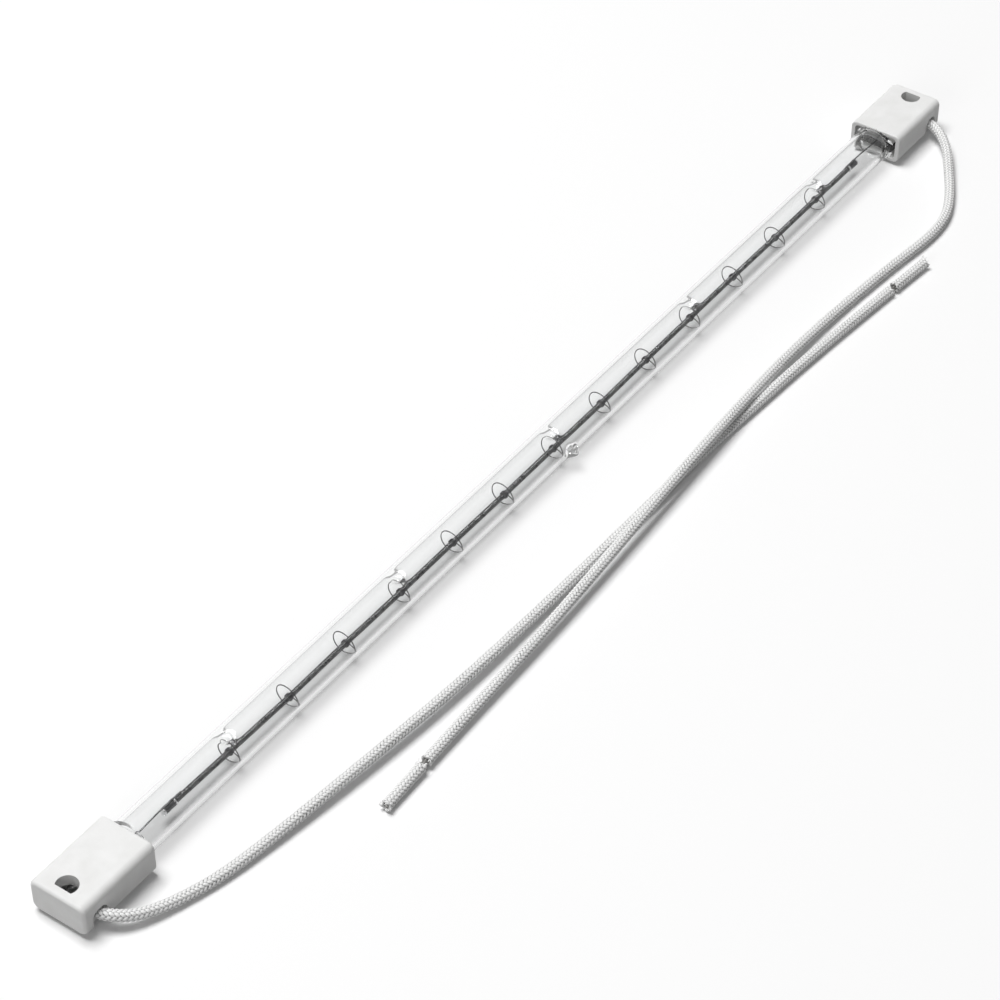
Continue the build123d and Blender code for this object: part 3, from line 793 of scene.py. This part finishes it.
def braided(points, places, open_start, seed):
    """Line, reach, painted gap shade and end shift of a braided tube: radius + rise . height, wider at a cut
    end.

    The rings then turn back inside, as the bore that the conductor runs in."""
    rng = np.random.default_rng(seed)
    angle = np.linspace(0, 2 * np.pi, SLEEVE_AROUND, endpoint=False)
    height = braid_height(places[:, None], angle[None, :])
    reach = SLEEVE_RADIUS + YARN_RISE * height
    ragged = 0.5 + 0.5 * np.sin(3 * angle + rng.uniform(0, 6)) * np.sin(5 * angle + rng.uniform(0, 6))
    ends = [np.clip(1 - (places[-1] - places) / END_OPENED, 0, 1)]
    if open_start:
        ends.append(np.clip(1 - places / END_OPENED, 0, 1))
    shift = np.zeros_like(reach)
    for near_end, way_out in zip(ends, (1, -1)):
        cuts = rng.uniform(-0.4, 0.35, CUT_PLACES)
        cut_angle = np.linspace(0, 2 * np.pi, CUT_PLACES + 1)
        cuts = np.interp(angle, cut_angle, np.append(cuts, cuts[0]))
        reach = reach + (near_end**2)[:, None] * (END_SWELL + END_RAGGED * ragged)[None, :]
        shift = shift + way_out * near_end[:, None] * cuts[None, :]
    lip = len(points) if open_start else 4
    line = np.concatenate([points, points[::-1][:lip]])
    bore = np.full((lip, SLEEVE_AROUND), SLEEVE_BORE)
    # Painted shade: the low gaps between yarns get a low mark, which the material paints dark; the bore gets
    # a high one and stays white.
    painted_gap_shade = np.concatenate([0.2 + 0.8 * height, 0 * bore + 0.8])
    return line, np.concatenate([reach, bore]), painted_gap_shade, np.concatenate([shift, shift[::-1][:lip]])


def tube_frames(line):
    """Directions along, to the side and up at each point of a line that nowhere stands upright."""
    along = np.gradient(line, axis=0)
    along /= np.linalg.norm(along, axis=1, keepdims=True)
    side = np.cross((0, 0, 1.0), along)
    side /= np.linalg.norm(side, axis=1, keepdims=True)
    return along, side, np.cross(along, side)


def loose_yarn(rng, root, along, way_out, out, flap):
    """A yarn come loose at a cut end: it runs on from the root and bends away as its length squared.

    A flap is the same yarn pressed flat and standing off further."""
    share = np.linspace(0, 1, 12)
    length = rng.uniform(1.0, 1.6)
    outward = rng.uniform(-0.1, 0.5) + FLAP_STAND_OFF * flap
    sideways = rng.uniform(-0.3, 0.3)
    cross = np.cross(along, out)
    line = root + LOOSE_ROOT * out + way_out * along * (length * share - LOOSE_TUCKED)[:, None]
    line = line + (outward * out + sideways * cross) * (share**2)[:, None]
    angle = np.linspace(0, 2 * np.pi, 8, endpoint=False)
    flat = 1 + FLAP_FLATNESS * flap * np.abs(np.cos(angle)) ** 3
    thick = LOOSE_RADIUS * np.sqrt(1 - 0.8 * share)
    return sweep(line, cross, thick[:, None] * flat[None, :])


def braid_piece(name, points, places, open_start, seed, node):
    """Braided sleeve as one mesh with its loose yarns; how high the yarns lie is kept for the material's
    painted shade.
    """
    line, reach, painted_gap_shade, shift = braided(points, places, open_start, seed)
    back = len(line) - len(points)
    along, side, up = [np.concatenate([way, way[::-1][:back]]) for way in tube_frames(points)]
    vertices = skin_points(line, side, up, reach) + shift[:, :, None] * along[:, None, :]
    vertices = vertices.reshape(-1, 3)
    if open_start:
        ring = np.arange(SLEEVE_AROUND)
        after = (ring + 1) % SLEEVE_AROUND
        last = (len(line) - 1) * SLEEVE_AROUND
        faces = grid_faces(len(line), SLEEVE_AROUND).tolist()
        faces += np.stack([last + ring, last + after, after, ring], axis=-1).tolist()
    else:
        faces = closed_faces(len(line), SLEEVE_AROUND)
    painted_gap_shade = np.clip(painted_gap_shade, 0, 1).ravel()
    rng = np.random.default_rng(seed + 20)
    ends = [(len(points) - 1, 1)]
    if open_start:
        ends.append((0, -1))
    for ring, way_out in ends:
        for order, turn in enumerate(rng.uniform(0, 2 * np.pi, LOOSE_YARNS)):
            out = np.cos(turn) * side[ring] + np.sin(turn) * up[ring]
            flap = order < FLAPS
            yarn, yarn_faces = loose_yarn(rng, points[ring], along[ring], way_out, out, flap)
            faces += [[len(vertices) + corner for corner in face] for face in yarn_faces]
            vertices = np.concatenate([vertices, yarn])
            painted_gap_shade = np.concatenate([painted_gap_shade, np.full(len(yarn), 0.9)])
    vertices[:, 2] = np.maximum(vertices[:, 2], FLOOR_GAP)
    thing = piece(name, vertices, faces, braid, "braid", [node])
    mark(thing, "painted_gap_shade", painted_gap_shade)
    return thing


strand_metal = metal("plated_strand", (0.22, 0.216, 0.21), (0.5, 0.49, 0.475), rough=0.35, grain=900)
yarn_settings = {"Roughness": 0.55, "Specular IOR Level": 0.4, "Sheen Weight": 0.15}
braid, tree, inputs = shaded("glass_fibre_braid", yarn_settings)
gap_shade_mark = marked(tree, "painted_gap_shade")
# Painted shade: where the yarns lie low, in the gaps between them, the yarn's white is painted down to dark
# grey.
yarn_white_with_painted_shade = two_tone(tree, gap_shade_mark, (0.14, 0.14, 0.14), (0.92, 0.92, 0.915), start=0.48, end=0.8)
fibre = clouds(tree, 2600.0, detail=2.0)
flecked = tree.nodes.new("ShaderNodeVectorMath")
flecked.operation = "SCALE"
tree.links.new(yarn_white_with_painted_shade, flecked.inputs[0])
tree.links.new(spread(tree, fibre, 0.88, 1.08), flecked.inputs["Scale"])
tree.links.new(flecked.outputs["Vector"], inputs["Base Color"])
relief(tree, fibre, inputs["Normal"], strength=0.35, height=0.00005)
for side, sign in SIDES:
    way = [(sign * (WIRE_X - run), across, height) for run, across, height in WAYS[side]]
    points, places = equal_steps(spline_points(way, resolution=64), SLEEVE_STEP)
    sleeve_name = side + "_braided_sleeve"
    sleeve_node = side + "_lead_sleeve"
    sleeve = braid_piece(sleeve_name, points, places, open_start=False, seed=3, node=sleeve_node)
    cut = np.array(way[-1])
    onward = cut - np.array(way[-2])
    onward /= np.linalg.norm(onward)
    slug_places = np.linspace(0, SLUG_LENGTH, SLUG_RINGS)
    slug_line = cut + onward * (SLUG_GAP + slug_places)[:, None]
    slug_name = side + "_braided_slug"
    slug_node = side + "_sleeve_slug"
    slug = braid_piece(slug_name, slug_line, slug_places, open_start=True, seed=5, node=slug_node)
    first = np.array([(way[0][0], -2.5, way[0][2])])
    rest = cut + onward * np.linspace(0.3, 15.65, 40)[:, None]
    strand_line, strand_places = equal_steps(np.concatenate([first, points, rest]), step=0.45)
    around = np.linspace(0, 2 * np.pi, 28, endpoint=False)
    lay_angle = strand_places * 2 * np.pi / STRAND_TWIST
    twist = np.abs(np.cos(3.5 * (around[None, :] - lay_angle[:, None])))
    skin = sweep(strand_line, (0, 0, 1), STRAND_RADIUS + STRAND_RISE * twist)
    conductor_node = side + "_lead_conductor"
    conductor = piece(side + "_twisted_strand", *skin, strand_metal, "conductor", [conductor_node])

# Floor: a pale studio table, matt and flat, which the lamp and its leads lie on. What the camera, the
# glass and the metal see of it is lifted to white. Its sizes are in metres.
FLOOR_HALF = 4


def seen_in_picture(tree):
    """1 for rays from the camera, off gloss and through glass, 0 for all others."""
    rays = tree.nodes.new("ShaderNodeLightPath").outputs
    seen = reckon(tree, "MAXIMUM", rays["Is Camera Ray"], rays["Is Glossy Ray"])
    return reckon(tree, "MAXIMUM", seen, rays["Is Transmission Ray"])


table_settings = {"Roughness": 0.9, "Specular IOR Level": 0.0, "Emission Color": (1, 1, 1, 1)}
table, tree, inputs = shaded("white_table", table_settings)
in_picture = seen_in_picture(tree)
tree.links.new(spread(tree, in_picture, 0.5, 0.9), inputs["Base Color"])
tree.links.new(reckon(tree, "MULTIPLY", in_picture, 0.06), inputs["Emission Strength"])
floor_mesh = bpy.data.meshes.new("studio_floor")
corners = [(x * FLOOR_HALF, y * FLOOR_HALF, 0) for x, y in ((-1, -1), (1, -1), (1, 1), (-1, 1))]
floor_mesh.from_pydata(corners, [], [(0, 1, 2, 3)])
floor_mesh.materials.append(table)
floor = bpy.data.objects.new("studio_floor", floor_mesh)
bpy.context.scene.collection.objects.link(floor)

# Light: one soft box overhead, a faint lamp towards the left end, and an even pale room, which the camera,
# the glass and the metal see brighter than the other pieces do.
LAMP_DISTANCE = 2.2


def soft_lamp(name, direction, size, power):
    """A square lamp that stands in this direction from the part and faces it."""
    data = bpy.data.lights.new(name, "AREA")
    data.shape = "SQUARE"
    data.size = size
    data.energy = power
    lamp = bpy.data.objects.new(name, data)
    outward = Vector(direction).normalized()
    lamp.location = outward * LAMP_DISTANCE
    lamp.rotation_euler = outward.to_track_quat("Z", "Y").to_euler()
    bpy.context.scene.collection.objects.link(lamp)


world = bpy.data.worlds.new("pale_room")
bpy.context.scene.world = world
world.use_nodes = True
tree = world.node_tree
room = tree.nodes["Background"].inputs
room["Color"].default_value = (1, 1, 1, 1)
tree.links.new(spread(tree, seen_in_picture(tree), 0.1, 0.42), room["Strength"])
soft_lamp("soft_box", (-0.06, 0.27, 1.0), size=1.1, power=48.0)
soft_lamp("end_lamp", (-1.0, -0.15, 0.35), size=0.9, power=7.0)

# Camera: a long lens where the photograph was taken from, looking down along the lamp from its left end.
# Its place was fitted to both end caps and all the supports. Distances are in metres.
AZIMUTH = math.radians(-54.46)
ELEVATION = math.radians(42.23)
AIM = Vector((-0.01805, 0.00197, 0.0))
CAMERA_DISTANCE = 0.7418
level = math.cos(ELEVATION)
back = Vector((math.sin(AZIMUTH) * level, -math.cos(AZIMUTH) * level, math.sin(ELEVATION)))
camera_data = bpy.data.cameras.new("photo_camera")
camera_data.sensor_width = 36.0
camera_data.lens = 109.43
camera_data.clip_start = 0.01
camera = bpy.data.objects.new("photo_camera", camera_data)
camera.location = AIM + back * CAMERA_DISTANCE
camera.rotation_euler = back.to_track_quat("Z", "Y").to_euler()
bpy.context.scene.collection.objects.link(camera)
bpy.context.scene.camera = camera

bpy.context.view_layer.update()
